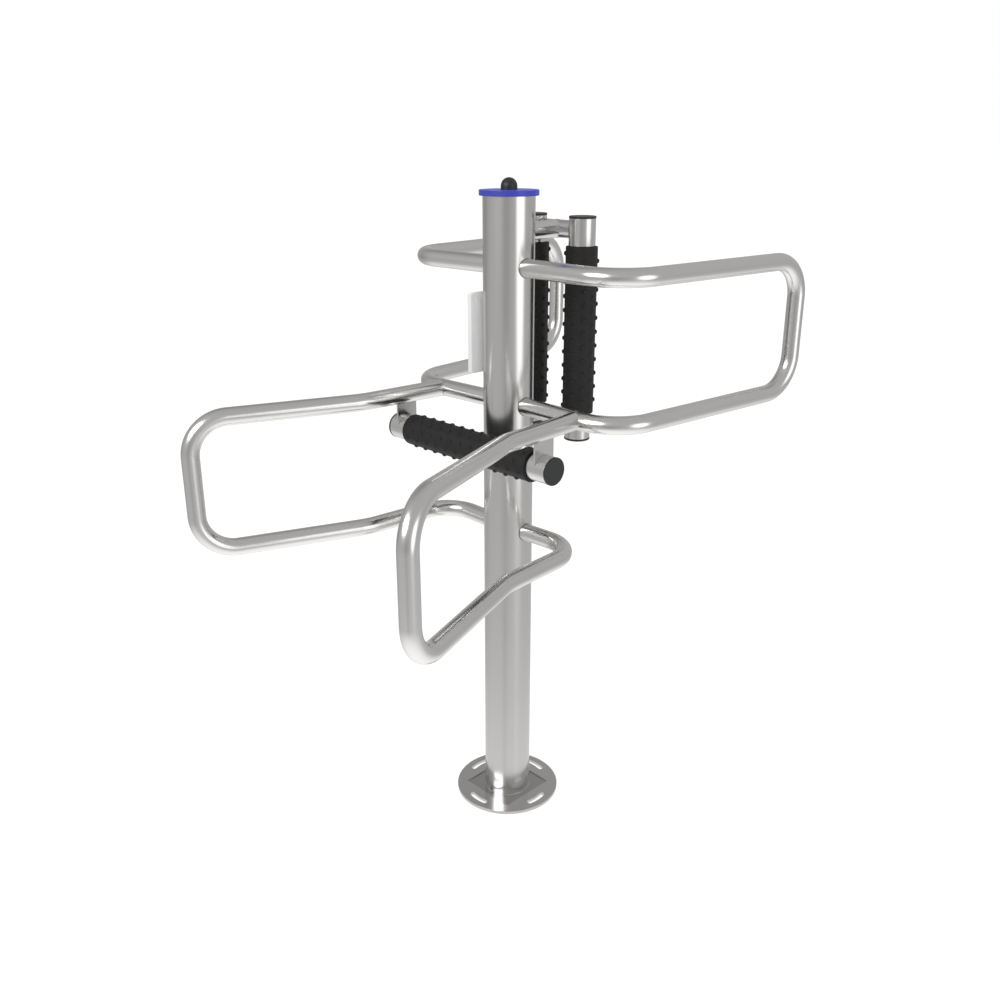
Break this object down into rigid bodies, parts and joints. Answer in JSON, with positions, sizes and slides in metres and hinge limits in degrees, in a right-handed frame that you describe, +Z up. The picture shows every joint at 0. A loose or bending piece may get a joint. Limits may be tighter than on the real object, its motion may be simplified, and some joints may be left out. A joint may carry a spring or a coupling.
{
  "type": "outdoor massage roller station",
  "caption": "Street fitness station: a flanged steel post with upright and level studded massage rollers on bearings, and bent tube handles on opposite sides.",
  "frame": {"origin": "centre of the base flange's underside, on the ground, on the post's axis", "axes": "+Z up along the post; +Y towards the side with the two upright rollers; +X to the right of a person who looks along +Y"},
  "size_m": [0.7962, 1.2172, 1.525],
  "materials": {
    "brushed_steel": "stainless steel with a fine satin grain along the post",
    "polished_steel": "stainless steel, polished nearly bright",
    "bearing_steel": "turned and ground steel",
    "zinc_steel": "stainless fasteners",
    "blue_plastic": "moulded blue plastic",
    "black_plastic": "moulded black plastic",
    "white_panel": "white sign board, bare",
    "black_rubber": "dull black rubber with domed studs"
  },
  "bodies": {
    "frame": {"post": "brushed_steel", "base_flange": "brushed_steel", "cap_bridge": "brushed_steel", "top_cap": "blue_plastic", "cap_bolt": "zinc_steel", "sign_screws": "zinc_steel", "cap_dome": "black_plastic", "sign_panel": "white_panel", "high_right_handle": "polished_steel", "high_left_handle": "polished_steel", "low_right_handle": "polished_steel", "low_left_handle": "polished_steel", "top_stub": "polished_steel", "top_crossbar": "polished_steel", "bottom_stub": "polished_steel", "bottom_crossbar": "polished_steel", "right_hanger_plate": "polished_steel", "left_hanger_plate": "polished_steel", "right_roller_top_sleeve": "polished_steel", "right_roller_bottom_sleeve": "polished_steel", "right_roller_end_caps": "black_plastic", "right_roller_bearings": "bearing_steel", "left_roller_top_sleeve": "polished_steel", "left_roller_bottom_sleeve": "polished_steel", "left_roller_end_caps": "black_plastic", "left_roller_bearings": "bearing_steel", "waist_roller_right_sleeve": "polished_steel", "waist_roller_left_sleeve": "polished_steel", "waist_roller_end_caps": "black_plastic", "waist_roller_bearings": "bearing_steel"},
    "right_roller": {"right_roller_axle": "bearing_steel", "right_roller_circlips": "bearing_steel", "right_roller_hubs": "bearing_steel", "right_roller_core": "bearing_steel", "right_roller_grip": "black_rubber"},
    "left_roller": {"left_roller_axle": "bearing_steel", "left_roller_circlips": "bearing_steel", "left_roller_hubs": "bearing_steel", "left_roller_core": "bearing_steel", "left_roller_grip": "black_rubber"},
    "waist_roller": {"waist_roller_axle": "bearing_steel", "waist_roller_circlips": "bearing_steel", "waist_roller_hubs": "bearing_steel", "waist_roller_core": "bearing_steel", "waist_roller_grip": "black_rubber"}
  },
  "joints": [
    {"name": "right_roller_spin", "type": "hinge", "parent": "frame", "child": "right_roller", "pos_m": [0.074, 0.156, 1.187], "axis": [0, 0, 1], "continuous": true},
    {"name": "left_roller_spin", "type": "hinge", "parent": "frame", "child": "left_roller", "pos_m": [-0.074, 0.156, 1.187], "axis": [0, 0, 1], "continuous": true},
    {"name": "waist_roller_spin", "type": "hinge", "parent": "frame", "child": "waist_roller", "pos_m": [0, -0.119, 0.954], "axis": [1, 0, 0], "continuous": true}
  ]
}
